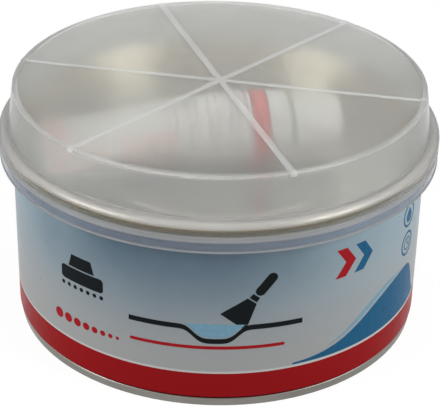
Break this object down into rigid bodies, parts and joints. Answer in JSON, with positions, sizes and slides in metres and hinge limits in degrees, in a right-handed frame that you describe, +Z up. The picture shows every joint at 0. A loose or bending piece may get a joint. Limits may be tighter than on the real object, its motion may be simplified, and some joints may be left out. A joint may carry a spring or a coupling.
{
  "type": "polyester filler tin",
  "caption": "Round tinplate lever-lid tin of filler paste, with a hardener tube lying on its recessed lid under a frosted push-on overcap; all lift off, and the tube's cap unscrews.",
  "frame": {"origin": "middle of the base, on the plane that the bottom seam stands on", "axes": "+Z up along the tin's axis, -Y towards the front, +X to the right seen from the front"},
  "size_m": [0.1634, 0.1634, 0.0926],
  "materials": {
    "printed_tinplate": "glossy printed lacquer, pale blue grading to pale grey over a red foot band",
    "bare_tinplate": "bright tinplate",
    "gold_tinplate": "gold-lacquered tinplate",
    "seam_compound": "matt sealing compound",
    "filler_paste": "smooth thick paste",
    "frosted_plastic": "frosted see-through polypropylene",
    "tube_laminate": "white laminate with a red band",
    "white_plastic": "moulded white",
    "foil": "bright foil",
    "hardener_paste": "red paste",
    "liner_foam": "dense foam disc"
  },
  "bodies": {
    "tin": {"tin_body": "printed_tinplate", "bottom_end": "bare_tinplate", "bottom_seam_compound": "seam_compound", "top_ring": "gold_tinplate", "top_seam_compound": "seam_compound", "filler_paste": "filler_paste"},
    "lid": {"lever_lid": "gold_tinplate"},
    "tube": {"tube_sleeve": "tube_laminate", "tube_head": "white_plastic", "tube_foil_seal": "foil", "hardener_paste": "hardener_paste"},
    "overcap": {"overcap": "frosted_plastic"},
    "cap_disc": {"cap_liner": "liner_foam"},
    "tube_cap": {"screw_cap": "white_plastic"}
  },
  "joints": [
    {"name": "lid_lift", "type": "slide", "parent": "tin", "child": "lid", "axis": [0, 0, 1], "range_m": [0, 0.04]},
    {"name": "tube_lift", "type": "slide", "parent": "lid", "child": "tube", "axis": [0, 0, 1], "range_m": [0, 0.05]},
    {"name": "overcap_lift", "type": "slide", "parent": "tube", "child": "overcap", "axis": [0, 0, 1], "range_m": [0, 0.06]},
    {"name": "cap_advance", "type": "slide", "parent": "tube", "child": "cap_disc", "axis": [0.9848, 0.1736, 0], "range_m": [0, 0.0075]},
    {"name": "cap_turn", "type": "hinge", "parent": "cap_disc", "child": "tube_cap", "pos_m": [0.00194, -0.01103, 0.0762], "axis": [0.9848, 0.1736, 0], "range_deg": [0, 1080]}
  ],
  "couplings": [
    {"joint": "cap_advance", "follows": "cap_turn", "m_per_rad": 0.00039789}
  ]
}
